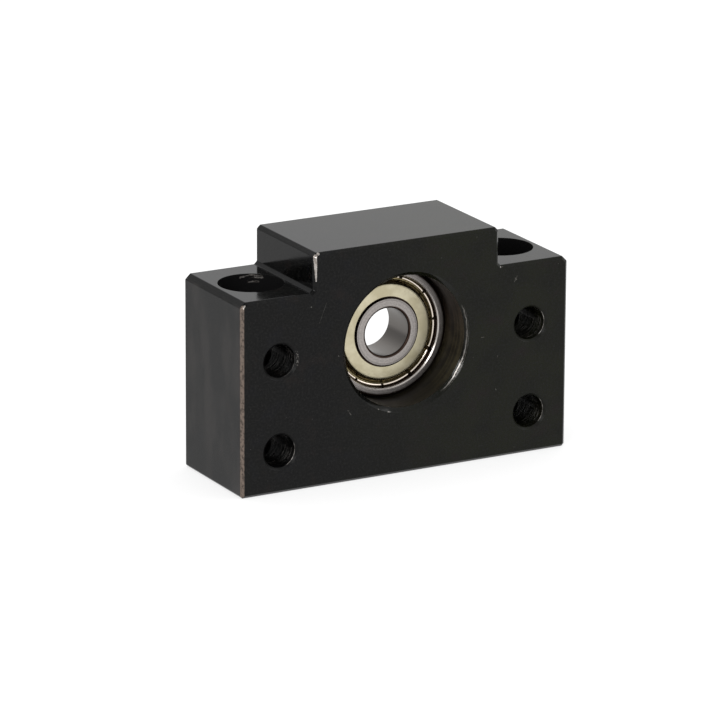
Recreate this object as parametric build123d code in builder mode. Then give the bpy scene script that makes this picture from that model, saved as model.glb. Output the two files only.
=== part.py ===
from build123d import *
import os

# Floating-side support of a ball screw: a machined block with a straight through bore,
# and a shielded deep groove ball bearing in the middle of that bore.
# X is the block's width, Y the shaft's axis and Z up. The origin is the middle of the base.

# Block
block_width = 60.0
block_thickness = 20.0
block_height = 39.0
shoulder_height = 32.5
shoulder_width = 13.0
shaft_height = 22.0
shoulder_end_chamfer = 0.9
hump_top_chamfer = 0.6
hump_foot_chamfer = 0.5
base_edge_chamfer = 0.4
face_edge_chamfer = 0.5

# Holes of the block. The edge distances run from the block's end to the hole's axis.
bore_chamfer = 0.7
face_hole_diameter = 5.5
face_hole_chamfer = 0.4
face_hole_edge_distance = 7.0
face_hole_lower_height = 7.0
face_hole_spacing_z = 15.0
base_hole_diameter = 6.6
base_hole_edge_distance = 7.0
base_hole_chamfer = 0.3
counterbore_diameter = 10.8
counterbore_depth = 5.0

# Bearing rings
bearing_bore = 8.0
bearing_outside = 22.0
bearing_width = 7.0
seat_clearance = 0.02
outer_ring_corner = 0.6
inner_ring_corner = 0.35
inner_race_depth = 0.45
inner_relief_depth = 0.35
outer_race_depth = 0.55
shield_seat_width = 0.45
recess_chamfer = 0.2
crimp_groove_depth = 0.22
crimp_groove_width = 0.4

# Balls
ball_count = 7
ball_diameter = 3.969
race_conformity = 0.525
race_clearance = 0.015
first_ball_angle = 90.0

# Shields, pressed from sheet and crimped into the groove of the outer ring
shield_sheet = 0.25
shield_gap = 0.3
shield_face_depth = 0.35
shield_step_width = 0.55
shield_shoulder_radius = 0.9
shield_foot_radius = 0.3
shield_channel_depth = 0.65
shield_channel_width = 0.28
shield_bead_width = 0.5
shield_bead_height = 0.2
shield_bead_inset = 0.3
shield_rim_clearance = 0.02
crimp_notch_count = 11
crimp_notch_width = 0.45
crimp_notch_inset = 0.1
crimp_notch_angle = 6.0

# Ribbon cage, two pressed halves clinched together by tabs
cage_sheet = 0.3
cage_width = 1.7
pocket_clearance = 0.08
tab_width = 0.9
tab_fold_length = 0.45
tab_clearance = 0.02

# Places that several pieces share
bore_diameter = bearing_outside + 2 * seat_clearance
pitch_radius = (bearing_bore + bearing_outside) / 4
ball_radius = ball_diameter / 2
race_radius = race_conformity * ball_diameter
inner_race_bottom = pitch_radius - ball_radius - race_clearance
outer_race_bottom = pitch_radius + ball_radius + race_clearance
inner_shoulder_radius = inner_race_bottom + inner_race_depth
inner_face_radius = inner_shoulder_radius - inner_relief_depth
outer_land_radius = outer_race_bottom - outer_race_depth
recess_radius = outer_land_radius + shield_seat_width
crimp_groove_radius = recess_radius + crimp_groove_depth
shield_channel_y = bearing_width / 2 - shield_face_depth - shield_channel_depth
shield_seat_y = shield_channel_y - shield_sheet
cage_inner_radius = pitch_radius - cage_width / 2
cage_outer_radius = pitch_radius + cage_width / 2
pocket_radius = ball_radius + pocket_clearance
first_tab_angle = first_ball_angle + 180 / ball_count
front_face = Plane.XZ.offset(block_thickness / 2)
bearing_middle = Plane(origin=(0, 0, shaft_height), x_dir=(1, 0, 0), z_dir=(0, -1, 0))
shaft_axis = Axis((0, 0, shaft_height), (0, 1, 0))


def section_of(side):
    """A section along the shaft, whose own Y points out of the front (-1) or the rear (1)."""
    return Plane(origin=(0, 0, shaft_height), x_dir=(1, 0, 0), z_dir=(0, 0, side))


def finish(piece, name):
    piece.part.label = name
    export_step(piece.part, f"parts/{name}.step")


def make_housing():
    end_x = block_width / 2
    hump_x = end_x - shoulder_width
    with BuildPart() as housing:
        with BuildSketch(Plane.XZ) as outline:
            with BuildLine():
                Polyline(
                    (-end_x, 0),
                    (end_x, 0),
                    (end_x, shoulder_height),
                    (hump_x, shoulder_height),
                    (hump_x, block_height),
                    (-hump_x, block_height),
                    (-hump_x, shoulder_height),
                    (-end_x, shoulder_height),
                    close=True,
                )
            make_face()
            base, shoulders, top = outline.vertices().group_by(Axis.Y)
            left_end, *hump_feet, right_end = shoulders.sort_by(Axis.X)
            chamfer(base, length=base_edge_chamfer)
            chamfer(hump_feet, length=hump_foot_chamfer)
            chamfer([left_end, right_end], length=shoulder_end_chamfer)
            chamfer(top, length=hump_top_chamfer)
        extrude(amount=block_thickness / 2, both=True)
        chamfer(housing.faces().filter_by(Axis.Y).edges(), length=face_edge_chamfer)

        with Locations(front_face):
            with Locations((0, shaft_height)):
                Hole(bore_diameter / 2)
            with Locations((0, face_hole_lower_height + face_hole_spacing_z / 2)):
                with GridLocations(
                    block_width - 2 * face_hole_edge_distance, face_hole_spacing_z, 2, 2
                ):
                    Hole(face_hole_diameter / 2)
        mouths = housing.faces().filter_by(Axis.Y).edges().filter_by(GeomType.CIRCLE)
        small, large = mouths.group_by(SortBy.RADIUS)
        chamfer(large, length=bore_chamfer)
        chamfer(small, length=face_hole_chamfer)

        counterbore_floor = shoulder_height - counterbore_depth
        with Locations((0, 0, counterbore_floor)):
            with GridLocations(block_width - 2 * base_hole_edge_distance, 0, 2, 1):
                Hole(base_hole_diameter / 2)
                Cylinder(
                    counterbore_diameter / 2,
                    block_height - counterbore_floor,
                    align=(Align.CENTER, Align.CENTER, Align.MIN),
                    mode=Mode.SUBTRACT,
                )
        base_face = housing.faces().filter_by(Axis.Z).sort_by(Axis.Z)[0]
        chamfer(base_face.edges().filter_by(GeomType.CIRCLE), length=base_hole_chamfer)
    finish(housing, "housing")


def make_outer_ring():
    with BuildPart() as bearing_outer_ring:
        with BuildSketch(section_of(1)) as section:
            with Locations((outer_land_radius, 0)):
                Rectangle(
                    bearing_outside / 2 - outer_land_radius,
                    bearing_width,
                    align=(Align.MIN, Align.CENTER),
                )
            fillet(section.vertices().group_by(Axis.X)[-1], radius=outer_ring_corner)
            with Locations((outer_race_bottom - race_radius, 0)):
                Circle(race_radius, mode=Mode.SUBTRACT)
            for side in (-1, 1):
                recess_y = side * (shield_seat_y + bearing_width / 2) / 2
                with Locations((outer_land_radius, recess_y)):
                    Rectangle(
                        shield_seat_width,
                        bearing_width / 2 - shield_seat_y,
                        align=(Align.MIN, Align.CENTER),
                        mode=Mode.SUBTRACT,
                    )
                groove_y = side * (shield_seat_y + crimp_groove_width / 2)
                with Locations((outer_land_radius, groove_y)):
                    Rectangle(
                        crimp_groove_radius - outer_land_radius,
                        crimp_groove_width,
                        align=(Align.MIN, Align.CENTER),
                        mode=Mode.SUBTRACT,
                    )
            ends = section.vertices().group_by(Axis.Y)
            for end in (ends[0], ends[-1]):
                chamfer(end.sort_by(Axis.X)[0], length=recess_chamfer)
        revolve(axis=shaft_axis)
    finish(bearing_outer_ring, "bearing_outer_ring")


def make_inner_ring():
    """The ring, whose ends are turned down where the inner edges of the shields come close."""
    bore_radius = bearing_bore / 2
    relief_y = bearing_width / 2 - shield_face_depth - shield_sheet - shield_gap / 2
    with BuildPart() as bearing_inner_ring:
        with BuildSketch(section_of(1)) as section:
            with Locations((bore_radius, 0)):
                Rectangle(
                    inner_face_radius - bore_radius,
                    bearing_width,
                    align=(Align.MIN, Align.CENTER),
                )
            fillet(section.vertices().group_by(Axis.X)[0], radius=inner_ring_corner)
            with Locations((inner_face_radius, 0)):
                Rectangle(
                    inner_relief_depth,
                    2 * relief_y,
                    align=(Align.MIN, Align.CENTER),
                )
            with Locations((inner_race_bottom + race_radius, 0)):
                Circle(race_radius, mode=Mode.SUBTRACT)
        revolve(axis=shaft_axis)
    finish(bearing_inner_ring, "bearing_inner_ring")


def make_balls():
    for number in range(ball_count):
        angle = first_ball_angle + number * 360 / ball_count
        with BuildPart() as ball:
            with Locations(bearing_middle):
                with PolarLocations(pitch_radius, 1, start_angle=angle):
                    Sphere(ball_radius)
        finish(ball, f"ball_{number + 1}")


def make_shield(side, name):
    face_y = bearing_width / 2 - shield_face_depth
    floor_y = shield_channel_y
    bead_radius = recess_radius - shield_bead_inset
    bead_start = bead_radius - shield_bead_width / 2
    step_end = bead_start - shield_channel_width
    step_start = step_end - shield_step_width
    with BuildPart() as shield:
        with BuildSketch(section_of(side)):
            with BuildLine():
                plate = FilletPolyline(
                    (inner_face_radius + shield_gap, face_y),
                    (step_start, face_y),
                    (step_end, floor_y),
                    (bead_start, floor_y),
                    radius=(shield_shoulder_radius, shield_foot_radius),
                )
                bead = ThreePointArc(
                    plate @ 1,
                    (bead_radius, floor_y + shield_bead_height),
                    (bead_radius + shield_bead_width / 2, floor_y),
                )
                Line(bead @ 1, (crimp_groove_radius - shield_rim_clearance, floor_y))
                offset(amount=shield_sheet, side=Side.RIGHT)
            make_face()
        revolve(axis=shaft_axis)
        with Locations(bearing_middle):
            with PolarLocations(
                bead_radius - crimp_notch_inset, crimp_notch_count, start_angle=crimp_notch_angle
            ):
                Box(
                    crimp_groove_radius,
                    crimp_notch_width,
                    bearing_width,
                    align=(Align.MIN, Align.CENTER, Align.CENTER),
                    mode=Mode.SUBTRACT,
                )
    finish(shield, name)


def cage_pockets(radius, mode=Mode.ADD):
    with Locations(bearing_middle):
        with PolarLocations(pitch_radius, ball_count, start_angle=first_ball_angle):
            Sphere(radius, mode=mode)


def cage_tab_walls(play=0, mode=Mode.ADD):
    """Where the tabs pass the rear half, at both edges of the ribbon and a little beyond them."""
    wall_depth = cage_sheet + play
    for radius, outward in (
        (cage_outer_radius - wall_depth, Align.MIN),
        (cage_inner_radius + wall_depth, Align.MAX),
    ):
        with Locations(bearing_middle):
            with PolarLocations(radius, ball_count, start_angle=first_tab_angle):
                Box(
                    2 * wall_depth,
                    tab_width + 2 * play,
                    2 * cage_sheet,
                    align=(outward, Align.CENTER, Align.MAX),
                    mode=mode,
                )


def cage_tab_folds():
    """The ends of the tabs, folded flat onto the rear half."""
    for radius, inward in (
        (cage_outer_radius - cage_sheet, Align.MAX),
        (cage_inner_radius + cage_sheet, Align.MIN),
    ):
        with Locations(bearing_middle.offset(-cage_sheet)):
            with PolarLocations(radius, ball_count, start_angle=first_tab_angle):
                Box(
                    tab_fold_length,
                    tab_width,
                    cage_sheet,
                    align=(inward, Align.CENTER, Align.MAX),
                )


def make_cage_half(forward, name):
    """One half of the cage. The front one (forward 1) has the tabs, the rear one their notches."""
    pocket_depth = pocket_radius + 2 * cage_sheet
    with BuildPart() as cage_half:
        with BuildSketch(bearing_middle) as ribbon:
            Circle(cage_outer_radius)
            Circle(cage_inner_radius, mode=Mode.SUBTRACT)
        extrude(amount=forward * cage_sheet)
        cage_pockets(pocket_radius + cage_sheet)
        extrude(ribbon.sketch, amount=forward * pocket_depth, mode=Mode.INTERSECT)
        if forward == 1:
            cage_tab_walls()
            cage_tab_folds()
            extrude(ribbon.sketch, amount=pocket_depth, both=True, mode=Mode.INTERSECT)
        else:
            cage_tab_walls(play=tab_clearance, mode=Mode.SUBTRACT)
        cage_pockets(pocket_radius, mode=Mode.SUBTRACT)
    finish(cage_half, name)


os.makedirs("parts", exist_ok=True)
make_housing()
make_outer_ring()
make_inner_ring()
make_balls()
make_shield(-1, "shield_front")
make_shield(1, "shield_rear")
make_cage_half(1, "cage_front_half")
make_cage_half(-1, "cage_rear_half")
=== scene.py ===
import bmesh
import bpy
import math
from mathutils import Matrix, Vector


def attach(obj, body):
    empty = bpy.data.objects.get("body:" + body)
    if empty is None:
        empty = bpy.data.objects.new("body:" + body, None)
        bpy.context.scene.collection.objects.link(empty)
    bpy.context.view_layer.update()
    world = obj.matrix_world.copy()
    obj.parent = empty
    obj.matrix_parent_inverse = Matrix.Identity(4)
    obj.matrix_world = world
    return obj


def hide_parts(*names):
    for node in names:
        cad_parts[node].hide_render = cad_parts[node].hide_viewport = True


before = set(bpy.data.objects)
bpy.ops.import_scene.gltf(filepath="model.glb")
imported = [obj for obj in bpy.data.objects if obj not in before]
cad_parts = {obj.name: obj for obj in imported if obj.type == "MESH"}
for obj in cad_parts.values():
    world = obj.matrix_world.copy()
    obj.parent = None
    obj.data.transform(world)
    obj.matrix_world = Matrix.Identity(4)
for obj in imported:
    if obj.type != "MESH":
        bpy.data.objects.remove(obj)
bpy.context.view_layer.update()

# Sizes are in millimetres until a piece is finished, then in metres.
# X is the block's width, Y runs along the shaft, Z is up from the middle of the base.
metresPerMm = 0.001
shaftHeight = 22.0
flatZone, edgeZone, drilledZone, boreZone, footZone, turnedZone = range(6)


# Small helpers

def screen(red, green, blue):
    # a colour as it reads on a screen, 0 to 255, turned into scene-linear values
    def linear(value):
        value = value / 255
        return value / 12.92 if value <= 0.04045 else ((value + 0.055) / 1.055) ** 2.4
    return (linear(red), linear(green), linear(blue), 1.0)


def inMetres(place):
    return [value * metresPerMm for value in place]


def setInputs(tree, node, inputs):
    # a socket is linked, and anything else becomes the input's own value
    for key, value in inputs.items():
        if isinstance(value, bpy.types.NodeSocket):
            tree.links.new(value, node.inputs[key])
        else:
            node.inputs[key].default_value = value


def addNode(tree, kind, inputs=None, **settings):
    node = tree.nodes.new(kind)
    for name, value in settings.items():
        setattr(node, name, value)
    setInputs(tree, node, inputs or {})
    return node


def outputOf(tree, kind, inputs=None, **settings):
    # the first output of a new node
    return addNode(tree, kind, inputs, **settings).outputs[0]


def formNode(tree, kind, inputs, **settings):
    return outputOf(tree, "GeometryNode" + kind, inputs, **settings)


def newGroup(name, treeKind, inputs, outputs):
    group = bpy.data.node_groups.new(name, treeKind)
    for side, sockets in (("INPUT", inputs), ("OUTPUT", outputs)):
        for label, kind in sockets.items():
            group.interface.new_socket(label, in_out=side, socket_type="NodeSocket" + kind)
    start = group.nodes.new("NodeGroupInput")
    end = group.nodes.new("NodeGroupOutput")
    return group, start.outputs, end


def newFormTree(name, inputs):
    geometry = {"Geometry": "Geometry"}
    return newGroup(name, "GeometryNodeTree", {**geometry, **inputs}, geometry)


def endFormTree(tree, end, geometry, material):
    realised = formNode(tree, "RealizeInstances", {"Geometry": geometry})
    finished = formNode(tree, "SetMaterial", {"Geometry": realised, "Material": material})
    tree.links.new(finished, end.inputs[0])


def newObject(name, data):
    piece = bpy.data.objects.new(name, data)
    bpy.context.scene.collection.objects.link(piece)
    return piece


def modifiedMesh(mesh, kind, settings, values=None):
    # what a modifier makes of a mesh; the object that carried it is taken away again
    carrier = newObject("carrier", mesh)
    modifier = carrier.modifiers.new("form", kind)
    for name, setting in settings.items():
        setattr(modifier, name, setting)
    for identifier, value in (values or {}).items():
        modifier[identifier] = value
    depsgraph = bpy.context.evaluated_depsgraph_get()
    result = bpy.data.meshes.new_from_object(carrier.evaluated_get(depsgraph))
    bpy.data.objects.remove(carrier)
    return result


def runFormTree(mesh, tree, values):
    # values by the names of the tree's inputs
    identified = {}
    for item in tree.interface.items_tree:
        if item.item_type == "SOCKET" and item.in_out == "INPUT" and item.name in values:
            identified[item.identifier] = values[item.name]
    return modifiedMesh(mesh, "NODES", {"node_group": tree}, identified)


shading = {"samePlace": 1e-5, "sharpAngle": 35, "flatFaceWeight": 90}


def pointOutwards(mesh):
    shape = bmesh.new()
    shape.from_mesh(mesh)
    bmesh.ops.remove_doubles(shape, verts=shape.verts, dist=shading["samePlace"])
    bmesh.ops.recalc_face_normals(shape, faces=shape.faces)
    shape.to_mesh(mesh)
    shape.free()


def finishPiece(name, mesh, body, node):
    # metres, smooth shading that keeps flat faces flat, then the calls that tie it to the frame
    mesh.name = name
    mesh.transform(Matrix.Scale(metresPerMm, 4))
    mesh.polygons.foreach_set("use_smooth", [True] * len(mesh.polygons))
    mesh.set_sharp_from_angle(angle=math.radians(shading["sharpAngle"]))
    weighting = {"keep_sharp": True, "weight": shading["flatFaceWeight"]}
    shaded = modifiedMesh(mesh, "WEIGHTED_NORMAL", weighting)
    shaded.name = name
    piece = newObject(name, shaded)
    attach(piece, body)
    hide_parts(node)
    print(name, len(shaded.polygons), "faces")


def storeZones(mesh, zoneOf):
    # each face keeps the number of its zone, which the finishes read
    zones = mesh.attributes.new("zone", "FLOAT", "FACE")
    for face, zone in zip(mesh.polygons, zones.data):
        zone.value = zoneOf(face)


def roundCorners(points, radii, steps=4):
    # a line of (across, along) points with its corners rounded; a radius of 0 keeps a corner
    rounded = []
    for index, corner in enumerate(points):
        corner = Vector(corner)
        radius = radii.get(index, 0)
        if not radius:
            rounded.append(tuple(corner))
            continue
        before = (Vector(points[index - 1]) - corner).normalized()
        after = (Vector(points[(index + 1) % len(points)]) - corner).normalized()
        half = before.angle(after) / 2
        centre = corner + (before + after).normalized() * radius / math.sin(half)
        first = corner + before * radius / math.tan(half) - centre
        last = corner + after * radius / math.tan(half) - centre
        sweep = first.angle_signed(last)
        for step in range(steps + 1):
            turn = Matrix.Rotation(-sweep * step / steps, 2)
            rounded.append(tuple(centre + turn @ first))
    return rounded


def arcPoints(centre, radius, startAngle, endAngle, steps):
    points = []
    for step in range(steps + 1):
        angle = math.radians(startAngle + (endAngle - startAngle) * step / steps)
        points.append((
            centre[0] + radius * math.cos(angle),
            centre[1] + radius * math.sin(angle),
        ))
    return points


# Turned forms: one tree sweeps a section round an axis

turning = {"rail": 40.0, "joined": 0.0005}


def makeTurningTree():
    tree, start, end = newFormTree("turnedForm", {
        "Segments": "Int", "Rail radius": "Float", "Join distance": "Float",
        "Material": "Material",
    })
    section = formNode(tree, "MeshToCurve", {"Mesh": start["Geometry"]})
    rail = formNode(tree, "CurvePrimitiveCircle",
                    {"Resolution": start["Segments"], "Radius": start["Rail radius"]})
    swept = formNode(tree, "CurveToMesh", {"Curve": rail, "Profile Curve": section})
    joined = formNode(tree, "MergeByDistance",
                      {"Geometry": swept, "Distance": start["Join distance"]})
    endFormTree(tree, end, joined, start["Material"])
    return tree


turningTree = makeTurningTree()


def layAlongShaft(mesh, direction=1):
    # from upright at the base to the shaft's height; direction 1 faces front and -1 rear
    mesh.transform(Matrix.Rotation(math.radians(90 * direction), 4, "X"))
    mesh.transform(Matrix.Translation((0, 0, shaftHeight)))


def turned(section, segments, alongShaft=True, closed=True, material=None):
    # section: (radius, place along the axis) points
    mesh = bpy.data.meshes.new("section")
    points = [(radius - turning["rail"], -along, 0) for radius, along in section]
    edges = [(index, index + 1) for index in range(len(points) - 1)]
    if closed:
        edges.append((len(points) - 1, 0))
    mesh.from_pydata(points, edges, [])
    form = runFormTree(mesh, turningTree, {
        "Segments": segments,
        "Rail radius": turning["rail"],
        "Join distance": turning["joined"],
        "Material": material,
    })
    if alongShaft:
        layAlongShaft(form)
    pointOutwards(form)
    return form


# Shader helpers

def emptyTree(owner, outputKind):
    # the nodes of a material or world, with only an output and the object's coordinates
    owner.use_nodes = True
    tree = owner.node_tree
    tree.nodes.clear()
    surface = tree.nodes.new(outputKind).inputs["Surface"]
    return tree, surface, tree.nodes.new("ShaderNodeTexCoord").outputs["Object"]


def newFinish(name):
    material = bpy.data.materials.new(name)
    tree, surface, place = emptyTree(material, "ShaderNodeOutputMaterial")
    shader = tree.nodes.new("ShaderNodeBsdfPrincipled")
    tree.links.new(shader.outputs[0], surface)
    return material, tree, shader, place


def calc(tree, operation, *values, clamp=False):
    inputs = dict(enumerate(values))
    return outputOf(tree, "ShaderNodeMath", inputs, operation=operation, use_clamp=clamp)


def combine(tree, operation, result, *others):
    # the same sum, product or maximum over any number of values
    for other in others:
        result = calc(tree, operation, result, other)
    return result


def product(tree, *values):
    return combine(tree, "MULTIPLY", *values)


def vectorCalc(tree, operation, *values, **inputs):
    inputs.update(enumerate(values))
    node = addNode(tree, "ShaderNodeVectorMath", inputs, operation=operation)
    return node.outputs["Value" if operation in ("DOT_PRODUCT", "DISTANCE") else "Vector"]


def noise(tree, place, scale, detail=3.0, roughness=0.5):
    return outputOf(tree, "ShaderNodeTexNoise", {
        "Vector": place, "Scale": scale, "Detail": detail, "Roughness": roughness,
    })


def lineNoise(tree, value, scale, detail):
    inputs = {"W": value, "Scale": scale, "Detail": detail}
    return outputOf(tree, "ShaderNodeTexNoise", inputs, noise_dimensions="1D")


def remap(tree, value, low, high, newLow=0.0, newHigh=1.0):
    # a smooth rise from the new low to the new high
    return outputOf(tree, "ShaderNodeMapRange", {
        "Value": value, "From Min": low, "From Max": high, "To Min": newLow, "To Max": newHigh,
    }, interpolation_type="SMOOTHSTEP")


def pattern(tree, place, scale, detail, roughness, *ends):
    # noise that fades in between the first two ends, to the shares in the other two
    return remap(tree, noise(tree, place, scale, detail, roughness), *ends)


def mixColours(tree, amount, first, second):
    inputs = {0: amount, 6: first, 7: second}
    return addNode(tree, "ShaderNodeMix", inputs, data_type="RGBA").outputs[2]


def mixValues(tree, amount, first, second):
    return outputOf(tree, "ShaderNodeMix", {0: amount, 2: first, 3: second}, data_type="FLOAT")


def bump(tree, height, distance, strength, normal=None):
    inputs = {"Height": height, "Distance": distance, "Strength": strength}
    if normal:
        inputs["Normal"] = normal
    return outputOf(tree, "ShaderNodeBump", inputs)


def zoneMask(tree, zone):
    stored = addNode(tree, "ShaderNodeAttribute", attribute_name="zone").outputs["Fac"]
    return calc(tree, "COMPARE", stored, zone, 0.5)


def shaftRadius(tree, place):
    # the distance from the shaft's axis and the place along it, in metres
    split = addNode(tree, "ShaderNodeSeparateXYZ", {0: place}).outputs
    rise = calc(tree, "SUBTRACT", split["Z"], shaftHeight * metresPerMm)
    squares = calc(tree, "MULTIPLY_ADD", rise, rise, product(tree, split["X"], split["X"]))
    return calc(tree, "SQRT", squares), split["Y"]


def fadeOut(tree, distance, reach):
    ratio = calc(tree, "DIVIDE", distance, reach, clamp=True)
    return remap(tree, calc(tree, "SUBTRACT", 1.0, ratio), 0.0, 1.0)


def makeNearLineGroup():
    # 1 on the line from start to end, falling smoothly to 0 at a reach that can taper
    group, start, end = newGroup("nearLine", "ShaderNodeTree", {
        "Place": "Vector", "Start": "Vector", "End": "Vector",
        "Start reach": "Float", "End reach": "Float",
    }, {"Nearness": "Float"})
    along = vectorCalc(group, "SUBTRACT", start["End"], start["Start"])
    offset = vectorCalc(group, "SUBTRACT", start["Place"], start["Start"])
    share = calc(group, "DIVIDE", vectorCalc(group, "DOT_PRODUCT", offset, along),
                 vectorCalc(group, "DOT_PRODUCT", along, along), clamp=True)
    nearest = vectorCalc(group, "SCALE", along, Scale=share)
    distance = vectorCalc(group, "DISTANCE", offset, nearest)
    reach = mixValues(group, share, start["Start reach"], start["End reach"])
    setInputs(group, end, {"Nearness": fadeOut(group, distance, reach)})
    return group


def makeNearArcGroup():
    # the same along an arc round an axis that runs along Y
    group, start, end = newGroup("nearArc", "ShaderNodeTree", {
        "Place": "Vector", "Centre": "Vector", "Direction": "Vector",
        "Radius": "Float", "Opening": "Float", "Reach": "Float",
    }, {"Nearness": "Float"})
    offset = vectorCalc(group, "SUBTRACT", start["Place"], start["Centre"])
    flattened = vectorCalc(group, "MULTIPLY", offset, (1, 0, 1))
    outwards = vectorCalc(group, "NORMALIZE", flattened)
    nearest = vectorCalc(group, "SCALE", outwards, Scale=start["Radius"])
    distance = vectorCalc(group, "DISTANCE", offset, nearest)
    facing = vectorCalc(group, "DOT_PRODUCT", outwards, start["Direction"])
    middle = product(group, calc(group, "ADD", start["Opening"], 1.0), 0.5)
    within = remap(group, facing, start["Opening"], middle)
    nearness = product(group, within, fadeOut(group, distance, start["Reach"]))
    setInputs(group, end, {"Nearness": nearness})
    return group


nearLineGroup = makeNearLineGroup()
nearArcGroup = makeNearArcGroup()


def nearLine(tree, place, start, end, startReach, endReach=None):
    # sizes in millimetres; where one reach is given, it holds for both ends
    return outputOf(tree, "ShaderNodeGroup", {
        "Place": place,
        "Start": inMetres(start),
        "End": inMetres(end),
        "Start reach": startReach * metresPerMm,
        "End reach": (endReach or startReach) * metresPerMm,
    }, node_tree=nearLineGroup)


def nearArc(tree, place, centre, radius, direction, halfSpread, reach):
    # sizes in millimetres; the direction is in degrees from X towards Z
    angle = math.radians(direction)
    return outputOf(tree, "ShaderNodeGroup", {
        "Place": place,
        "Centre": inMetres(centre),
        "Direction": (math.cos(angle), 0, math.sin(angle)),
        "Radius": radius * metresPerMm,
        "Opening": math.cos(math.radians(halfSpread)),
        "Reach": reach * metresPerMm,
    }, node_tree=nearArcGroup)


def wearAndHighlightMask(tree, place, rows):
    # the strongest of the lines or arcs under that name; each row ends in its strength
    near = nearLine if rows.endswith("Lines") else nearArc
    result = 0.0
    for *shape, strength in wearAndHighlights[rows]:
        mask = product(tree, near(tree, place, *shape), strength)
        result = calc(tree, "MAXIMUM", result, mask)
    return result


# Black oxide on the block, worn to bare steel on some of its edges, with painted highlights,
# glints and shade in places

oxide = {
    "black": (0.0009, 0.0009, 0.0011, 1),
    "blue": (0.0016, 0.0018, 0.0032, 1),
    "olive": (0.0048, 0.0054, 0.0016, 1),
    "brown": (0.0056, 0.0036, 0.0030, 1),
    "mottle": (0.0066, 0.0065, 0.0062, 1),
    "endHaze": (0.0112, 0.0098, 0.0092, 1),
    # the bore's colours: painted shade where its painted light falls off, and warm tints
    "borePaintedShade": (0.0040, 0.0034, 0.0028, 1),
    "boreRed": (0.0250, 0.0155, 0.0125, 1),
    "boreOlive": (0.0330, 0.0275, 0.0150, 1),
    "footDark": (0.0070, 0.0068, 0.0070, 1),
    "wornBrown": screen(126, 113, 104),
    "dullSteel": screen(138, 130, 124),
    "bareSteel": screen(206, 202, 197),
    "ior": 1.255,
    "roughness": (0.09, 0.15),
    "drilledRoughness": 0.26,
    "footRoughness": 0.30,
    "boreRoughness": 0.36,
    "thinRoughness": 0.42,
    "bareRoughness": 0.26,
    "chamferRoughness": 0.4,
    # scale, detail and roughness of a noise, where it fades in, and the shares it ends at
    "bluePatches": (2300 / 7, 2, 0.5, 0.5, 0.8),
    "olivePatches": (1000 / 7, 5, 0.6, 0.35, 0.65, 0.45, 1.0),
    "brownPatches": (1700 / 7, 4, 0.6, 0.55, 0.75),
    "mottlePatches": (2600, 4, 0.6, 0.4, 0.75),
    "nickPatches": (4400, 2, 0.5, 0.48, 0.6),
    "streaks": (1100, 3, 0.5, 0.44, 0.5),
    "drillPatches": (620, 3, 0.5, 0.45, 0.65, 0.0, 0.22),
    # scale, detail and at times roughness of a noise or of turned lines
    "grain": (3800, 4),
    "smudges": (260, 4),
    "chips": (1500, 5, 0.6),
    "hatching": (1900, 4, 0.7),
    "boreClouds": (420, 5),
    "boreLines": (1500, 4),
    "mouthLines": (5000, 2),
    "drillLines": (4400, 2),
    # how far the turned lines wander, in metres
    "boreWander": 4e-5,
    "mouthWander": 3e-4,
    # where a tint or a painted light share rises across the block or up its bore, in metres
    "oliveAcross": (-0.018, 0.014, 0.08, 1.0),
    "endFaceAt": -0.0298,
    "redHeights": (0.016, 0.028),
    "litFromBelow": (0.010, 0.018),
    "litFromAbove": (0.036, 0.022),
    # depth in metres and strength
    "grainBump": (2e-6, 0.35),
    "lineBump": (1e-5, 0.8),
}

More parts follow.
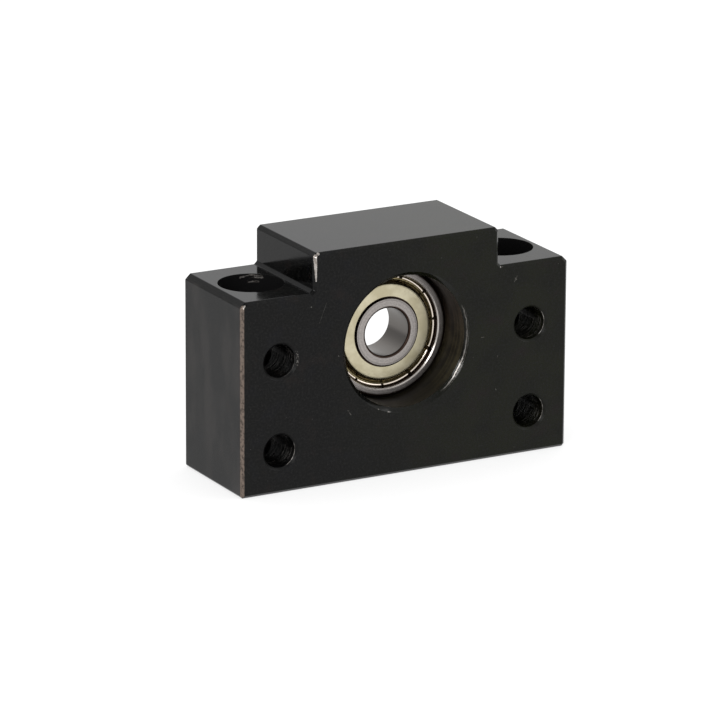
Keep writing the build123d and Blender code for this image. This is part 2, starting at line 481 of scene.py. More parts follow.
wearAndHighlights = {
    # start, end, reach at the start, reach at the end, strength
    "brownLines": [
        ((-29.75, -9.75, 0.4), (-29.75, -9.75, 31.9), 0.57, 0.57, 1.0),
    ],
    "bareAndGlintLines": [
        ((-29.5, -9.8, 31.6), (-29.3, -9.8, 32.0), 0.22, 0.3, 0.85),
        ((-16.65, -9.75, 38.5), (-16.55, -9.9, 34.4), 0.65, 0.2, 0.9),
        ((-16.2, -9.7, 38.7), (-16.1, -9.7, 38.8), 0.5, 0.5, 0.8),
        # a painted glint along the right ear's front top edge, drawn as bare steel
        ((17.4, -9.85, 32.3), (18.7, -9.85, 32.3), 0.3, 0.2, 0.6),
    ],
    # painted glints: bare-steel streaks high on the wall of the left counterbore
    "glintLines": [
        ((-20.7, 4.9, 32.1), (-19.0, 3.75, 32.0), 0.42, 0.36, 1.0),
        ((-22.2, 5.3, 31.9), (-21.1, 5.0, 32.1), 0.22, 0.22, 0.9),
        ((-20.9, 4.95, 31.2), (-19.5, 4.15, 31.2), 0.3, 0.18, 0.8),
    ],
    # start, end, reach, strength: short scratches and nicks on the front face
    "scratchLines": [
        ((-14.7, -10, 30.6), (-16.0, -10, 27.4), 0.07, 0.055),
        ((-17.5, -10, 30.3), (-17.45, -10, 30.25), 0.14, 0.22),
        ((-12.5, -10, 21.5), (-12.45, -10, 21.4), 0.12, 0.18),
        ((-10.8, -10, 12.1), (-10.6, -10, 12.0), 0.1, 0.15),
        ((-10.5, -10, 11.7), (-10.2, -10, 11.3), 0.1, 0.2),
        ((-5.2, -10, 11.6), (-5.1, -10, 11.5), 0.16, 0.45),
        ((-3.4, -10, 10.8), (-2.5, -10, 10.75), 0.13, 0.55),
        ((13.8, -10, 20.9), (14.3, -10, 20.9), 0.09, 0.15),
        ((16.9, -10, 17.4), (16.9, -10, 17.2), 0.1, 0.13),
        ((16.6, -10, 11.8), (16.7, -10, 11.6), 0.1, 0.13),
        ((20.4, -10, 30.4), (19.9, -10, 29.5), 0.12, 0.1),
        ((20.0, -10, 30.1), (20.3, -10, 29.8), 0.1, 0.2),
    ],
    # centre, radius, direction, half spread, reach, strength
    # bare steel with a painted highlight, in a crescent on the bore's mouth
    "mouthArcs": [
        ((0, -9.65, 22), 11.37, -31, 19, 0.5, 0.5),
        ((0, -9.65, 22), 11.40, -24, 32, 0.4, 0.3),
        ((0, -9.65, 22), 11.42, 4, 22, 0.35, 0.22),
    ],
    # bare steel with a painted highlight, in thin crescents on the rims of the small holes
    "holeArcs": [
        ((23, -9.6, 22), 2.8, -6, 48, 0.09, 0.9),
        ((23, -9.6, 7), 2.8, -2, 48, 0.09, 0.9),
        ((-23, -9.6, 7), 2.8, -22, 48, 0.09, 0.9),
        ((-23, -9.6, 22), 2.8, -30, 48, 0.09, 0.2),
    ],
    "nickArcs": [
        ((-23, -9.9, 22), 3.12, 2, 26, 0.32, 0.32),
    ],
    # stretch, scale, size, and the share of the cells that stay empty
    "specks": [
        ((1, 1, 1), 640, 0.055, 0.78),
        ((1, 1, 0.25), 700, 0.045, 0.93),
        ((0.4, 1, 0.8), 640, 0.045, 0.94),
    ],
    "speckStrength": 0.1,
    "hatchAcross": (0.8, -0.8, 0.5),
    "hatchAlong": (0.3, -0.3, -0.5),
}


def speckMask(tree, place):
    # rare dots and short thin scratches
    result = 0.0
    for stretch, scale, size, empty in wearAndHighlights["specks"]:
        stretched = vectorCalc(tree, "MULTIPLY", place, stretch)
        cells = addNode(tree, "ShaderNodeTexVoronoi",
                        {"Vector": stretched, "Scale": scale}).outputs
        dot = remap(tree, cells["Distance"], size, 0.4 * size)
        drawn = vectorCalc(tree, "DOT_PRODUCT", cells["Color"], (1, 0, 0))
        chosen = calc(tree, "GREATER_THAN", drawn, empty)
        result = calc(tree, "MAXIMUM", result, product(tree, dot, chosen))
    return result


def oxideTint(tree, place, smudge):
    # black in patches of other tints, more olive towards the right, smudged on the left end
    east = vectorCalc(tree, "DOT_PRODUCT", place, (1, 0, 0))
    colour = oxide["black"]
    for tint in ("blue", "olive", "brown", "mottle"):
        share = pattern(tree, place, *oxide[tint + "Patches"])
        if tint == "olive":
            share = product(tree, share, remap(tree, east, *oxide["oliveAcross"]))
        colour = mixColours(tree, share, colour, oxide[tint])
    endFace = calc(tree, "LESS_THAN", east, oxide["endFaceAt"])
    haze = product(tree, remap(tree, smudge, 0.4, 0.65), endFace)
    return mixColours(tree, haze, colour, oxide["endHaze"])


def boreTintAndPaintedLight(tree, place, turnLines):
    # turned lines in warm tints, redder high up and more olive low down, with painted light
    # strongest around the shaft's height and painted shade towards the top and bottom of the bore
    height = vectorCalc(tree, "DOT_PRODUCT", place, (0, 0, 1))
    warm = mixColours(tree, remap(tree, height, *oxide["redHeights"]), oxide["boreOlive"],
                      oxide["boreRed"])
    lit = product(tree, remap(tree, height, *oxide["litFromBelow"]),
               remap(tree, height, *oxide["litFromAbove"]))
    lines = mixValues(tree, 0.6, noise(tree, place, *oxide["boreClouds"]), turnLines)
    lit = product(tree, remap(tree, lit, 0.0, 1.0, 0.2, 1.0),
               remap(tree, lines, 0.4, 0.6, 0.1, 1.0))
    return mixColours(tree, lit, oxide["borePaintedShade"], warm)


def makeOxide():
    material, tree, shader, place = newFinish("blackOxide")
    edge, drilled, bore, foot = [
        zoneMask(tree, zone) for zone in (edgeZone, drilledZone, boreZone, footZone)
    ]
    radius, along = shaftRadius(tree, place)
    grain = noise(tree, place, *oxide["grain"])
    drawn = vectorCalc(tree, "MULTIPLY", place, (1, 1, 0.35))
    smudge = noise(tree, drawn, *oxide["smudges"])
    wandering = calc(tree, "MULTIPLY_ADD", grain, oxide["boreWander"], along)
    turnLines = lineNoise(tree, wandering, *oxide["boreLines"])
    colour = mixColours(tree, bore, oxideTint(tree, place, smudge),
                        boreTintAndPaintedLight(tree, place, turnLines))
    colour = mixColours(tree, foot, colour, oxide["footDark"])

    # brown where the oxide is thin, bare steel where it has gone, and a painted glint drawn as
    # bare steel on the right ear's edge
    chipped = noise(tree, place, *oxide["chips"])
    thin = remap(tree, wearAndHighlightMask(tree, place, "brownLines"), 0.2, 0.5)
    slanted = outputOf(tree, "ShaderNodeCombineXYZ", {
        "X": vectorCalc(tree, "DOT_PRODUCT", place, wearAndHighlights["hatchAcross"]),
        "Y": vectorCalc(tree, "DOT_PRODUCT", place, wearAndHighlights["hatchAlong"]),
    })
    hatching = noise(tree, slanted, *oxide["hatching"])
    thin = product(tree, thin, edge, remap(tree, hatching, 0.38, 0.58, 0.3, 1.0))
    goneAndGlint = product(tree, wearAndHighlightMask(tree, place, "bareAndGlintLines"), edge)
    goneAndGlint = remap(tree, calc(tree, "MULTIPLY_ADD", chipped, 0.5, goneAndGlint), 0.6, 0.8)

    # fine turned lines on the mouth of the bore, in a crescent of bare steel with a painted
    # highlight, and thin crescents of bare steel with a painted highlight on the small holes
    drift = calc(tree, "MULTIPLY_ADD", noise(tree, place, 900), oxide["mouthWander"], radius)
    mouthLines = remap(tree, lineNoise(tree, drift, *oxide["mouthLines"]), 0.5, 0.58)
    mouth = product(tree, wearAndHighlightMask(tree, place, "mouthArcs"), mouthLines, edge)
    rim = product(tree, wearAndHighlightMask(tree, place, "holeArcs"),
                  remap(tree, chipped, 0.4, 0.6, 0.25, 1.0))
    nicks = product(tree, wearAndHighlightMask(tree, place, "nickArcs"),
                    pattern(tree, place, *oxide["nickPatches"]))
    scratches = wearAndHighlightMask(tree, place, "scratchLines")

    # painted glints as bare-steel streaks on the wall of the left counterbore, and scratches in
    # the small holes
    squeezed = vectorCalc(tree, "MULTIPLY", place, (1, 1, 6))
    streaks = pattern(tree, squeezed, *oxide["streaks"])
    glints = product(tree, wearAndHighlightMask(tree, place, "glintLines"), streaks, foot)
    drillLines = remap(tree, lineNoise(tree, along, *oxide["drillLines"]), 0.56, 0.64)
    drillPatches = pattern(tree, place, *oxide["drillPatches"])
    scored = product(tree, drillLines, drillPatches, drilled)
    specks = product(tree, speckMask(tree, place), wearAndHighlights["speckStrength"])
    # bare steel where worn, together with the painted highlights and glints drawn as bare steel
    bare = combine(tree, "MAXIMUM", goneAndGlint, mouth, rim, nicks, glints, scored, specks, scratches)

    rough = remap(tree, mixValues(tree, 0.35, smudge, grain), 0.3, 0.7, *oxide["roughness"])
    for mask, surface in ((drilled, "drilled"), (foot, "foot"), (bore, "bore"), (thin, "thin"),
                          (bare, "bare"), (zoneMask(tree, turnedZone), "chamfer")):
        rough = mixValues(tree, mask, rough, oxide[surface + "Roughness"])

    rings = mixValues(tree, bore, 0.5, product(tree, turnLines, 2.0))
    rings = mixValues(tree, drilled, rings, drillLines)
    normal = bump(tree, grain, *oxide["grainBump"])
    normal = bump(tree, rings, *oxide["lineBump"], normal)

    colour = mixColours(tree, thin, colour, oxide["wornBrown"])
    steelColour = mixColours(tree, remap(tree, hatching, 0.35, 0.65), oxide["dullSteel"],
                             oxide["bareSteel"])
    setInputs(tree, shader, {
        "Base Color": mixColours(tree, bare, colour, steelColour),
        "Metallic": calc(tree, "MAXIMUM", thin, bare),
        "Roughness": rough,
        "Normal": normal,
        "IOR": oxide["ior"],
    })
    return material


blackOxide = makeOxide()


# Ground bearing steel for the rings, zinc-plated sheet for the shields

steel = {
    "bright": screen(178, 172, 168),
    "dull": screen(144, 139, 136),
    # painted shade: a darker colour for the inside of the inner ring's bore
    "bore": screen(120, 116, 112),
    "turned": screen(62, 50, 44),
    "polished": screen(196, 190, 184),
    "roughness": (0.36, 0.48),
    "boreRoughness": 0.32,
    "polishedRoughness": 0.3,
    "smudges": (4600, 4, 0.6),
    "fineLines": (16000, 3),
    "grindLines": (4200, 2),
    "faceBump": (1.5e-6, 0.5),
    "wallBump": (1.0e-6, 0.4),
}


def asMetal(tree, shader, colour, rough, normal):
    setInputs(tree, shader, {
        "Base Color": colour, "Roughness": rough, "Normal": normal, "Metallic": 1.0,
    })


def makeRingSteel():
    material, tree, shader, place = newFinish("ringSteel")
    radius, along = shaftRadius(tree, place)
    faceLines = lineNoise(tree, radius, *steel["fineLines"])
    wallLines = lineNoise(tree, along, *steel["fineLines"])
    bore = zoneMask(tree, boreZone)
    polished = zoneMask(tree, edgeZone)
    smudge = noise(tree, place, *steel["smudges"])
    grinding = mixValues(tree, 0.5, smudge, lineNoise(tree, radius, *steel["grindLines"]))
    colour = mixColours(tree, remap(tree, grinding, 0.4, 0.6), steel["dull"], steel["bright"])
    # the inner ring's bore is painted darker, as shade inside the hole
    colour = mixColours(tree, bore, colour, steel["bore"])
    colour = mixColours(tree, polished, colour, steel["polished"])
    colour = mixColours(tree, zoneMask(tree, turnedZone), colour, steel["turned"])
    rough = mixValues(tree, 0.5, smudge, faceLines)
    rough = remap(tree, rough, 0.3, 0.7, *steel["roughness"])
    rough = mixValues(tree, bore, rough, steel["boreRoughness"])
    rough = mixValues(tree, polished, rough, steel["polishedRoughness"])
    normal = bump(tree, faceLines, *steel["faceBump"])
    asMetal(tree, shader, colour, rough, bump(tree, wallLines, *steel["wallBump"], normal))
    return material


zinc = {
    "pale": screen(216, 208, 180),
    "deep": screen(197, 188, 158),
    # painted shade: the bent part is darker than the flat
    "formedShade": screen(142, 131, 98),
    "formedDeepShade": screen(106, 96, 70),
    # painted shade by the notches
    "notchShade": screen(48, 40, 30),
    # a painted highlight on the bead's crest
    "bead": screen(236, 224, 210),
    "roughness": (0.34, 0.46),
    "formedRoughness": 0.24,
    "beadRoughness": 0.16,
    "speckle": (5200, 4, 0.65),
    "clouds": (420, 3, 0.5, 0.3, 0.7),
    "formedClouds": (2400, 4, 0.5, 0.4, 0.6),
    "bump": (4e-6, 0.5),
}


def makeShieldZinc():
    material, tree, shader, place = newFinish("shieldZinc")
    speckle = noise(tree, place, *zinc["speckle"])
    colour = mixColours(tree, pattern(tree, place, *zinc["clouds"]), zinc["deep"], zinc["pale"])
    colour = mixColours(tree, remap(tree, speckle, 0.6, 0.7, 0, 0.8), colour, zinc["deep"])
    formedShade = zoneMask(tree, turnedZone)
    bead = zoneMask(tree, edgeZone)
    # painted shade on the bent part, in darker clouded colours
    formedColour = mixColours(tree, pattern(tree, place, *zinc["formedClouds"]),
                              zinc["formedDeepShade"], zinc["formedShade"])
    colour = mixColours(tree, formedShade, colour, formedColour)
    # a painted highlight on the bead's crest
    colour = mixColours(tree, bead, colour, zinc["bead"])
    # painted shade by the notches
    colour = mixColours(tree, zoneMask(tree, footZone), colour, zinc["notchShade"])
    rough = remap(tree, speckle, 0.3, 0.7, *zinc["roughness"])
    rough = mixValues(tree, formedShade, rough, zinc["formedRoughness"])
    rough = mixValues(tree, bead, rough, zinc["beadRoughness"])
    asMetal(tree, shader, colour, rough, bump(tree, speckle, *zinc["bump"]))
    return material


polish = {
    "tints": (screen(205, 205, 208), steel["bright"]),
    "tintEnds": None,
    "roughness": (0.05, 0.12),
    "grain": (900, 3),
    "bump": (5e-7, 0.4),
}

strip = {
    "tints": (screen(150, 142, 132), screen(186, 180, 170)),
    "tintEnds": (0.3, 0.7),
    "roughness": (0.25, 0.42),
    "grain": (1500, 4),
    "bump": (3e-6, 0.5),
}


def makePlainMetal(name, values):
    # where no ends are given, the tints follow the grain as it is
    material, tree, shader, place = newFinish(name)
    grain = noise(tree, place, *values["grain"])
    share = remap(tree, grain, *values["tintEnds"]) if values["tintEnds"] else grain
    colour = mixColours(tree, share, *values["tints"])
    rough = remap(tree, grain, 0.3, 0.7, *values["roughness"])
    asMetal(tree, shader, colour, rough, bump(tree, grain, *values["bump"]))
    return material


ringSteel = makeRingSteel()
shieldZinc = makeShieldZinc()
ballSteel = makePlainMetal("ballSteel", polish)
cageStrip = makePlainMetal("cageStrip", strip)
print("finishes made")


# Block

block = {
    "width": 60.0,
    "thickness": 20.0,
    "height": 39.0,
    "shoulderHeight": 32.5,
    "shoulderWidth": 13.0,
    "endChamfer": 0.9,
    "topChamfer": 0.6,
    "footChamfer": 0.5,
    "baseChamfer": 0.4,
    "faceChamfer": 0.5,
    "edgeRounding": 0.07,
    "boreDiameter": 22.04,
    "boreChamfer": 0.7,
    "holeDiameter": 5.5,
    "holeChamfer": 0.4,
    "holeSpacingX": 46.0,
    "holeSpacingZ": 15.0,
    "holeLowerHeight": 7.0,
    "footHoleDiameter": 6.6,
    "footHoleChamfer": 0.3,
    "footHoleSpacing": 46.0,
    "counterboreDiameter": 10.8,
    "counterboreDepth": 5.0,
    "counterboreFlare": 0.09,
    "footHoleRounding": 0.05,
    "stepRounding": 0.08,
    "floorRounding": 0.25,
    "rimRounding": 0.06,
    "boreSegments": 288,
    "holeSegments": 144,
}

# how far a cutter stands proud of a face, how much wider it is there, how far it goes beyond
cutter = {"proud": 0.002, "wider": 0.3, "beyond": 1.0, "above": 8.0}


def cutCorners(points, cuts):
    # an outline whose corners are chamfered by the given lengths
    outline = []
    for index, corner in enumerate(points):
        corner = Vector(corner)
        for other in (points[index - 1], points[(index + 1) % len(points)]):
            outline.append(corner + (Vector(other) - corner).normalized() * cuts[index])
    return outline


def makeBlockBody():
    endX = block["width"] / 2
    humpX = endX - block["shoulderWidth"]
    top, shoulder = block["height"], block["shoulderHeight"]
    corners = [(-endX, 0), (endX, 0), (endX, shoulder), (humpX, shoulder), (humpX, top),
               (-humpX, top), (-humpX, shoulder), (-endX, shoulder)]
    cuts = [block[name + "Chamfer"] for name in
            ("base", "base", "end", "foot", "top", "top", "foot", "end")]
    front = block["thickness"] / 2
    shape = bmesh.new()
    outline = [shape.verts.new((point.x, -front, point.y))
               for point in cutCorners(corners, cuts)]
    frontFace = shape.faces.new(outline)
    moved = bmesh.ops.extrude_face_region(shape, geom=[frontFace])["geom"]
    farVerts = [item for item in moved if isinstance(item, bmesh.types.BMVert)]
    bmesh.ops.translate(shape, verts=farVerts, vec=(0, 2 * front, 0))
    bmesh.ops.recalc_face_normals(shape, faces=shape.faces)
    rims = [edge for edge in shape.edges if edge.verts[0].co.y == edge.verts[1].co.y]
    bmesh.ops.bevel(shape, geom=rims, offset=block["faceChamfer"], segments=1, affect="EDGES",
                    offset_type="OFFSET", profile=0.5)
    mesh = bpy.data.meshes.new("blockBody")
    shape.to_mesh(mesh)
    shape.free()

    result = modifiedMesh(mesh, "BEVEL", {
        "width": block["edgeRounding"],
        "segments": 3,
        "limit_method": "ANGLE",
        "angle_limit": math.radians(20),
        "use_clamp_overlap": True,
    })
    pointOutwards(result)
    return result


def bodyZone(face):
    return flatZone if max(abs(value) for value in face.normal) > 0.998 else edgeZone


def cutterZones(wallZone, chamferZone, faceAxis):
    # faces that lean between the walls and the face axis are chamfers and rounded edges
    def zoneOf(face):
        return chamferZone if 0.1 < abs(face.normal[faceAxis]) < 0.995 else wallZone
    return zoneOf


def mouthSection(radius, chamferLength, face, side):
    # the mouth of a cutter at the block's face, from outside the block inwards
    outer = radius + chamferLength
    wide = outer + cutter["wider"]
    proud = side * (face + cutter["proud"])
    return roundCorners([
        (wide, side * (face + cutter["beyond"])),
        (wide, proud),
        (outer, proud),
        (radius, side * (face - chamferLength)),
        (radius, 0),
    ], {2: block["edgeRounding"], 3: block["edgeRounding"]})[:-1]


def makeBoreCutter(kind, wallZone, chamferZone):
    # kind is bore or hole, as in the names of the block's values
    radius, chamferLength = block[kind + "Diameter"] / 2, block[kind + "Chamfer"]
    face = block["thickness"] / 2
    end = face + cutter["beyond"]
    rear, front = [mouthSection(radius, chamferLength, face, side) for side in (-1, 1)]
    section = [(0, -end)] + rear + front[::-1] + [(0, end)]
    tool = turned(section, block[kind + "Segments"], closed=False)
    storeZones(tool, cutterZones(wallZone, chamferZone, 1))
    return tool


def makeFootCutter():
    radius = block["footHoleDiameter"] / 2
    wide = block["counterboreDiameter"] / 2
    top = block["shoulderHeight"]
    floor = top - block["counterboreDepth"]
    cut = block["footHoleChamfer"]
    outer = radius + cut
    flare = wide + block["counterboreFlare"]
    proud = cutter["proud"]
    section = roundCorners([
        (0, -cutter["beyond"]),
        (outer + cutter["wider"], -cutter["beyond"]),
        (outer + cutter["wider"], -proud),
        (outer, -proud),
        (radius, cut),
        (radius, floor),
        (wide, floor),
        (wide, top + proud),
        (flare, top + proud),
        (flare, top + cutter["above"]),
        (0, top + cutter["above"]),
    ], {3: block["footHoleRounding"], 4: block["footHoleRounding"], 5: block["stepRounding"],
        6: block["floorRounding"], 7: block["rimRounding"]})
    tool = turned(section, block["holeSegments"], alongShaft=False, closed=False)
    storeZones(tool, cutterZones(footZone, edgeZone, 2))
    return tool


def cutAway(tree, body, tool):
    return formNode(tree, "MeshBoolean", {"Mesh 1": body, "Mesh 2": tool},
                    operation="DIFFERENCE", solver="EXACT")


def makeDrillingTree():
    tree, start, end = newFormTree("drilledBlock", {
        "Bore cutter": "Object", "Hole cutter": "Object", "Foot cutter": "Object",
        "Hole spacing X": "Float", "Hole spacing Z": "Float", "Hole centre": "Vector",
        "Foot spacing": "Float", "Material": "Material",
    })
    grid = formNode(tree, "MeshGrid", {
        "Size X": start["Hole spacing X"], "Size Y": start["Hole spacing Z"],
        "Vertices X": 2, "Vertices Y": 2,
    })
    upright = formNode(tree, "Transform", {
        "Geometry": grid, "Translation": start["Hole centre"],
        "Rotation": (math.radians(90), 0, 0),
    })
    half = product(tree, start["Foot spacing"], -0.5)
    footStart = outputOf(tree, "ShaderNodeCombineXYZ", {"X": half})
    footStep = outputOf(tree, "ShaderNodeCombineXYZ", {"X": start["Foot spacing"]})
    feet = formNode(tree, "MeshLine",
                    {"Count": 2, "Start Location": footStart, "Offset": footStep})
    body = start["Geometry"]
    for name, points in (("Bore cutter", None), ("Hole cutter", upright), ("Foot cutter", feet)):
        source = addNode(tree, "GeometryNodeObjectInfo", {"Object": start[name]})
        tool = source.outputs["Geometry"]
        if points:
            placed = formNode(tree, "InstanceOnPoints", {"Points": points, "Instance": tool})
            tool = formNode(tree, "RealizeInstances", {"Geometry": placed})
        body = cutAway(tree, body, tool)
    endFormTree(tree, end, body, start["Material"])
    return tree


def makeHousing():
    body = makeBlockBody()
    storeZones(body, bodyZone)
    holeCutter = makeBoreCutter("hole", drilledZone, turnedZone)
    holeCutter.transform(Matrix.Translation((0, 0, -shaftHeight)))
    cutters = {
        "Bore cutter": newObject("cutter", makeBoreCutter("bore", boreZone, edgeZone)),
        "Hole cutter": newObject("cutter", holeCutter),
        "Foot cutter": newObject("cutter", makeFootCutter()),
    }
    drilled = runFormTree(body, makeDrillingTree(), {
        **cutters,
        "Hole spacing X": block["holeSpacingX"],
        "Hole spacing Z": block["holeSpacingZ"],
        "Hole centre": (0, 0, block["holeLowerHeight"] + block["holeSpacingZ"] / 2),
        "Foot spacing": block["footHoleSpacing"],
        "Material": blackOxide,
    })
    for tool in cutters.values():
        bpy.data.objects.remove(tool)
    finishPiece("supportBlock", drilled, "block", "housing")


makeHousing()


# Bearing rings

bearing = {
    "bore": 8.0,
    "outside": 22.0,
    "width": 7.0,
    "outerCorner": 0.6,
    "innerCorner": 0.35,
    "pitchRadius": 7.5,
    "ballRadius": 1.9845,
    "raceRadius": 2.0837,
    "raceClearance": 0.015,
    "raceSteps": 24,
    "innerRaceDepth": 0.45,
    "innerReliefDepth": 0.35,
    "innerEdgeRounding": 0.06,
    "outerRaceDepth": 0.55,
    "shieldSeatWidth": 0.45,
    "recessChamfer": 0.2,
    "recessRounding": 0.05,
    "crimpGrooveDepth": 0.22,
    "crimpGrooveWidth": 0.4,
    "segments": 256,
}

shieldPlate = {
    "sheet": 0.25,
    "gap": 0.3,
    "faceDepth": 0.35,
    "stepWidth": 0.55,
    "shoulderRadius": 0.9,
    "footRadius": 0.3,
    "bentFrom": 8.2,
    "channelDepth": 0.65,
    "channelWidth": 0.28,
    "beadWidth": 0.5,
    "beadHeight": 0.2,
    "beadInset": 0.3,
    "crestHalf": 0.16,
    # where the painted shade by the notches lies
    "notchShadeHalf": 1.5,
    "notchShadeFrom": 8.82,
    "rimClearance": 0.02,
    "notchCount": 11,
    "notchWidth": 0.45,
    "notchLength": 3.0,
    "notchInset": 0.1,
    "notchAngle": 6.0,
    "bendSteps": 10,
    "segments": 264,
}

innerRaceBottom = bearing["pitchRadius"] - bearing["ballRadius"] - bearing["raceClearance"]
outerRaceBottom = bearing["pitchRadius"] + bearing["ballRadius"] + bearing["raceClearance"]
innerShoulder = innerRaceBottom + bearing["innerRaceDepth"]
innerFace = innerShoulder - bearing["innerReliefDepth"]
outerLand = outerRaceBottom - bearing["outerRaceDepth"]
recessRadius = outerLand + bearing["shieldSeatWidth"]
grooveRadius = recessRadius + bearing["crimpGrooveDepth"]
beadRadius = recessRadius - shieldPlate["beadInset"]
facePlace = bearing["width"] / 2 - shieldPlate["faceDepth"]
channelPlace = facePlace - shieldPlate["channelDepth"]
seatPlace = channelPlace - shieldPlate["sheet"]
reliefPlace = facePlace - shieldPlate["sheet"] - shieldPlate["gap"] / 2


def outerRingZone(radius, depth, lean):
    # the recess walls and the outer corners are left as turned, the recess's rim is polished
    rimDepth = bearing["width"] / 2 - bearing["recessChamfer"] + 0.02
    if radius < grooveRadius + 0.01 and depth > seatPlace - 0.01:
        return edgeZone if depth > rimDepth and lean < 0.99 else turnedZone
    corner = radius > bearing["outside"] / 2 - bearing["outerCorner"] and 0.02 < lean < 0.99
    return turnedZone if corner else flatZone


def innerRingZone(radius, depth, lean):
    # the bore is ground, its corners and the relieved rim are left as turned
    boreRadius = bearing["bore"] / 2
    if lean < 0.02 and radius < boreRadius + 0.01:
        return boreZone
    corner = radius < boreRadius + bearing["innerCorner"] and lean < 0.99
    relieved = radius > innerFace - 0.01 and depth > reliefPlace - 0.01
    return turnedZone if corner or relieved else flatZone


def makeRing(name, body, node, race, upper, zoneOf):
    # the upper half of the section is mirrored to the lower half
    lower = [(radius, -along) for radius, along in upper[::-1]]
    mesh = turned(race + upper + lower, bearing["segments"], material=ringSteel)
    storeZones(mesh, lambda face: zoneOf(
        math.hypot(face.center.x, face.center.z - shaftHeight),
        abs(face.center.y), abs(face.normal.y),
    ))
    finishPiece(name, mesh, body, node)


def makeOuterRing():
    end = bearing["width"] / 2
    outside = bearing["outside"] / 2
    raceRadius = bearing["raceRadius"]
    raceCentre = outerRaceBottom - raceRadius
    half = math.degrees(math.acos((outerLand - raceCentre) / raceRadius))
    race = arcPoints((raceCentre, 0), raceRadius, -half, half, bearing["raceSteps"])
    cut = bearing["recessChamfer"]
    groovePlace = seatPlace + bearing["crimpGrooveWidth"]
    upper = roundCorners([
        (outerLand, seatPlace),
        (grooveRadius, seatPlace),
        (grooveRadius, groovePlace),
        (recessRadius, groovePlace),
        (recessRadius, end - cut),
        (recessRadius + cut, end),
        (outside, end),
        (outside, 0),
    ], {4: bearing["recessRounding"], 5: bearing["recessRounding"], 6: bearing["outerCorner"]})
    makeRing("outerRing", "bearing", "bearing_outer_ring", race, upper[:-1], outerRingZone)


def makeInnerRing():
    end = bearing["width"] / 2
    bore = bearing["bore"] / 2
    raceRadius = bearing["raceRadius"]
    raceCentre = innerRaceBottom + raceRadius
    half = math.degrees(math.acos((raceCentre - innerShoulder) / raceRadius))
    race = arcPoints((raceCentre, 0), raceRadius, 180 + half, 180 - half, bearing["raceSteps"])
    upper = roundCorners([
        (innerShoulder, 0),
        (innerShoulder, reliefPlace),
        (innerFace, reliefPlace),
        (innerFace, end),
        (bore, end),
        (bore, 0),
    ], {3: bearing["innerEdgeRounding"], 4: bearing["innerCorner"]})
    makeRing("innerRing", "inner_ring", "bearing_inner_ring", race, upper[1:-1], innerRingZone)


makeOuterRing()
makeInnerRing()


# Shields: a pressed sheet section swept round, with the crimping notches cut out of its rim

def sheetSection(centreLine, thickness):
    # the line is the sheet's outer side; the inner side lies one thickness inwards
    inner = []
    for index, point in enumerate(centreLine):
        before = Vector(centreLine[max(index - 1, 0)])
        after = Vector(centreLine[min(index + 1, len(centreLine) - 1)])
        along = (after - before).normalized()
        inner.append((point[0] + along.y * thickness, point[1] - along.x * thickness))
    return list(centreLine) + inner[::-1]


def makeNotchTree():
    tree, start, end = newFormTree("notchedShield", {
        "Notch count": "Int", "Notch size": "Vector", "Notch radius": "Float",
        "Start angle": "Float", "Material": "Material",
    })
    ring = formNode(tree, "MeshCircle",
                    {"Vertices": start["Notch count"], "Radius": start["Notch radius"]})
    turn = outputOf(tree, "ShaderNodeCombineXYZ", {"Z": start["Start angle"]})
    turnedRing = formNode(tree, "Transform", {"Geometry": ring, "Rotation": turn})
    box = formNode(tree, "MeshCube", {"Size": start["Notch size"]})
    place = outputOf(tree, "GeometryNodeInputPosition")
    facing = outputOf(tree, "FunctionNodeAlignRotationToVector", {"Vector": place}, axis="X")
    boxes = formNode(tree, "InstanceOnPoints",
                     {"Points": turnedRing, "Instance": box, "Rotation": facing})
    solid = formNode(tree, "RealizeInstances", {"Geometry": boxes})
    endFormTree(tree, end, cutAway(tree, start["Geometry"], solid), start["Material"])
    return tree


notchTree = makeNotchTree()


def shieldLine():
    steps = shieldPlate["bendSteps"]
    half, height = shieldPlate["beadWidth"] / 2, shieldPlate["beadHeight"]
    beadStart = beadRadius - half
    stepEnd = beadStart - shieldPlate["channelWidth"]
    line = roundCorners([
        (innerFace + shieldPlate["gap"], facePlace),
        (stepEnd - shieldPlate["stepWidth"], facePlace),
        (stepEnd, channelPlace),
        (beadStart, channelPlace),
    ], {1: shieldPlate["shoulderRadius"], 2: shieldPlate["footRadius"]}, steps)[:-1]
    arcRadius = (half ** 2 + height ** 2) / (2 * height)
    sweep = math.degrees(math.asin(half / arcRadius))
    arcCentre = (beadRadius, channelPlace + height - arcRadius)
    line += arcPoints(arcCentre, arcRadius, 90 + sweep, 90 - sweep, steps)
    line.append((grooveRadius - shieldPlate["rimClearance"], channelPlace))
    return line


def shieldZones(startAngle):
    # the flat of the plate, what the press bent round it, the crest of the bead and the places by
    # the notches; the finish paints shade on the bent part and by the notches and a highlight on
    # the crest
    pitch = 360 / shieldPlate["notchCount"]

    def zoneOf(face):
        radius = math.hypot(*face.center[:2])
        turn = (math.degrees(math.atan2(face.center.y, face.center.x)) - startAngle) % pitch
        if radius > shieldPlate["notchShadeFrom"] and min(turn, pitch - turn) < shieldPlate["notchShadeHalf"]:
            return footZone
        if abs(radius - beadRadius) < shieldPlate["crestHalf"]:
            return edgeZone
        bent = abs(face.normal.z) < 0.94 or radius > shieldPlate["bentFrom"]
        return turnedZone if bent else flatZone
    return zoneOf


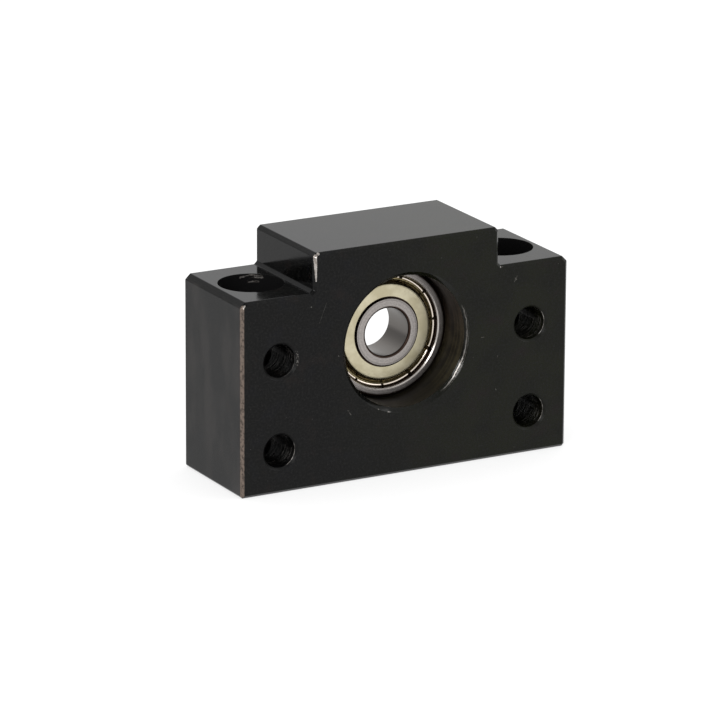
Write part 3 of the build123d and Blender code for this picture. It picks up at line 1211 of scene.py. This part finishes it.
def makeShield(name, node, direction):
    # direction 1 faces front and -1 rear
    section = sheetSection(shieldLine(), shieldPlate["sheet"])
    mesh = turned(section, shieldPlate["segments"], alongShaft=False, material=shieldZinc)
    storeZones(mesh, shieldZones(direction * shieldPlate["notchAngle"]))
    length = shieldPlate["notchLength"]
    notched = runFormTree(mesh, notchTree, {
        "Notch count": shieldPlate["notchCount"],
        "Notch size": (length, shieldPlate["notchWidth"], 2 * bearing["width"]),
        "Notch radius": beadRadius - shieldPlate["notchInset"] + length / 2,
        "Start angle": direction * math.radians(shieldPlate["notchAngle"]),
        "Material": shieldZinc,
    })
    layAlongShaft(notched, direction)
    finishPiece(name, notched, "bearing", node)


makeShield("frontShield", "shield_front", 1)
makeShield("rearShield", "shield_rear", -1)


# Balls and cage keep their modelled form and get their own finish

def dressNodes(start, material):
    for name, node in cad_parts.items():
        if name.startswith(start):
            node.data.materials.clear()
            node.data.materials.append(material)


dressNodes("ball_", ballSteel)
dressNodes("cage_", cageStrip)
print("balls and cage dressed")


# Studio: a pale floor that stays white round the shadow, a plain world and soft lamps

studio = {
    "floorHalf": 6.0,
    "floorColour": (0.95, 0.95, 0.95, 1),
    "shadowShare": 0.3,
    "glowBehind": 0.8,
    "worldDiffuse": 1.06,
    "worldGlossy": 0.95,
    "dimSide": 0.3,
    "target": (0, 0, 0.02),
    # name, place, size, power
    "lamps": [
        ("keyLamp", (-0.78, -0.60, 0.50), 0.34, 3.2),
        ("topLamp", (0.15, 0.25, 1.30), 0.9, 5.0),
        ("rightLamp", (0.95, -0.55, 0.55), 0.7, 2.6),
    ],
}


def makeFloor():
    half = studio["floorHalf"]
    mesh = bpy.data.meshes.new("studioFloor")
    mesh.from_pydata([(-half, -half, 0), (half, -half, 0), (half, half, 0), (-half, half, 0)],
                     [], [(0, 1, 2, 3)])
    material = bpy.data.materials.new("palePaper")
    tree, surface, place = emptyTree(material, "ShaderNodeOutputMaterial")
    rays = tree.nodes.new("ShaderNodeLightPath").outputs
    paper = outputOf(tree, "ShaderNodeBsdfDiffuse", {"Color": studio["floorColour"]})
    # what the block's left side mirrors, the floor behind it, glows a little less
    behind = vectorCalc(tree, "DOT_PRODUCT", place, (0, 1, 0))
    mirroredGlow = remap(tree, behind, -0.01, 0.0, 1.0, studio["glowBehind"])
    strength = mixValues(tree, rays["Is Glossy Ray"], 1.0, mirroredGlow)
    glow = outputOf(tree, "ShaderNodeEmission", {"Strength": strength})
    share = product(tree, rays["Is Camera Ray"], 1 - studio["shadowShare"])
    mirrored = calc(tree, "MAXIMUM", rays["Is Glossy Ray"], rays["Is Transmission Ray"])
    share = calc(tree, "MAXIMUM", share, mirrored)
    mixed = outputOf(tree, "ShaderNodeMixShader", {0: share, 1: paper, 2: glow})
    tree.links.new(mixed, surface)
    mesh.materials.append(material)
    newObject("studioFloor", mesh)


def makeWorld():
    world = bpy.data.worlds.new("studioWorld")
    bpy.context.scene.world = world
    tree, surface, direction = emptyTree(world, "ShaderNodeOutputWorld")
    rays = tree.nodes.new("ShaderNodeLightPath").outputs
    east = vectorCalc(tree, "DOT_PRODUCT", direction, (1, 0, 0))
    mirrored = remap(tree, east, -0.7, 0.1, studio["dimSide"], studio["worldGlossy"])
    strength = mixValues(tree, rays["Is Glossy Ray"], studio["worldDiffuse"], mirrored)
    cameraOrThrough = calc(tree, "MAXIMUM", rays["Is Camera Ray"], rays["Is Transmission Ray"])
    strength = mixValues(tree, cameraOrThrough, strength, 1.0)
    background = outputOf(tree, "ShaderNodeBackground",
                          {"Color": (1, 1, 1, 1), "Strength": strength})
    tree.links.new(background, surface)


def makeLamps():
    for name, place, size, power in studio["lamps"]:
        light = bpy.data.lights.new(name, "AREA")
        light.shape = "SQUARE"
        light.size = size
        light.energy = power
        lamp = newObject(name, light)
        lamp.location = place
        towards = Vector(studio["target"]) - Vector(place)
        lamp.rotation_euler = towards.to_track_quat("-Z", "Y").to_euler()


makeFloor()
makeWorld()
makeLamps()


# Camera at the photograph's viewing angle

view = {
    "place": (-0.40632, -0.73124, 0.26962),
    "yaw": 28.874,
    "pitch": 16.844,
    "roll": 0.3,
    "lens": 268.95,
    "sensor": 36,
}


def makeCamera():
    data = bpy.data.cameras.new("camera")
    data.lens = view["lens"]
    data.sensor_width = view["sensor"]
    data.clip_start = 0.01
    data.clip_end = 50
    camera = newObject("camera", data)
    camera.location = view["place"]
    turn = Matrix.Rotation(math.radians(-view["yaw"]), 3, "Z")
    tilt = Matrix.Rotation(math.radians(90 - view["pitch"]), 3, "X")
    roll = Matrix.Rotation(math.radians(view["roll"]), 3, "Z")
    camera.rotation_euler = (turn @ tilt @ roll).to_euler()
    bpy.context.scene.camera = camera


makeCamera()
bpy.context.scene.view_settings.view_transform = "Standard"
print("studio ready")
